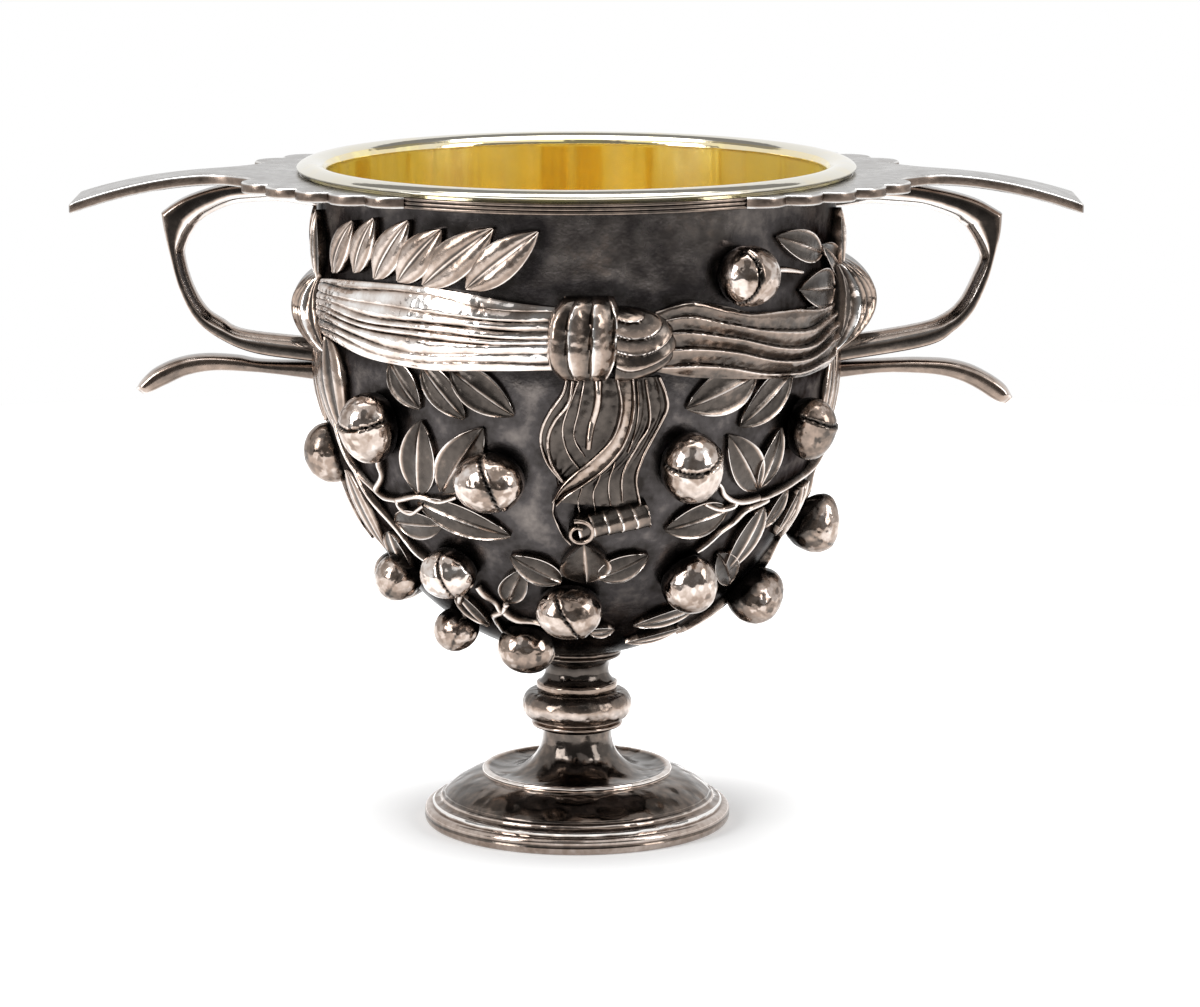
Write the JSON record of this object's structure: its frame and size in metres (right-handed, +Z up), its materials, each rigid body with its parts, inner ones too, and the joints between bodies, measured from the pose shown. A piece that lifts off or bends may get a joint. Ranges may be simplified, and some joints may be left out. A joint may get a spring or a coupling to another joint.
{
  "type": "kantharos cup",
  "caption": "Two-handled stemmed cup in oxidised silver with finger rings, thumb plates, a ribbon and fruit relief, and a lift-out gilt liner.",
  "frame": {"origin": "centre of the foot on the surface that the cup stands on", "axes": "+Z up the cup's axis, +X through the right handle, -Y towards the viewer of the front"},
  "size_m": [0.2014, 0.1166, 0.1356],
  "materials": {
    "oxidised_silver": "dark oxidised, hammered, satin",
    "worn_silver": "oxidised with polished edges",
    "bright_silver": "polished high spots, dark hollows",
    "satin_silver": "satin",
    "gilt": "polished gilding",
    "rod_metal": "plain turned"
  },
  "bodies": {
    "cup": {"foot": "oxidised_silver", "foot_wire": "worn_silver", "lower_collar": "oxidised_silver", "stem_knop": "oxidised_silver", "upper_collar": "oxidised_silver", "seat_ring": "oxidised_silver", "tie_rod": "rod_metal", "foot_washer": "rod_metal", "foot_nut": "rod_metal", "outer_bowl": "oxidised_silver", "rim_moulding": "worn_silver", "left_thumb_plate": "satin_silver", "left_ring_handle": "worn_silver", "left_finger_spur": "worn_silver", "left_ribbon_wrap": "bright_silver", "right_thumb_plate": "satin_silver", "right_ring_handle": "worn_silver", "right_finger_spur": "worn_silver", "right_ribbon_wrap": "bright_silver", "front_knot": "bright_silver", "front_ribbon_tails": "bright_silver", "back_knot": "bright_silver", "back_ribbon_tails": "bright_silver", "front_left_ribbon": "bright_silver", "front_left_fruit": "bright_silver", "front_left_spray": "worn_silver", "front_right_ribbon": "bright_silver", "front_right_fruit": "bright_silver", "front_right_spray": "worn_silver", "back_left_ribbon": "bright_silver", "back_left_fruit": "bright_silver", "back_left_spray": "worn_silver", "back_right_ribbon": "bright_silver", "back_right_fruit": "bright_silver", "back_right_spray": "worn_silver"},
    "liner": {"liner": "gilt"}
  },
  "joints": [
    {"name": "liner_lift", "type": "slide", "parent": "cup", "child": "liner", "axis": [0, 0, 1], "range_m": [0, 0.095]}
  ]
}
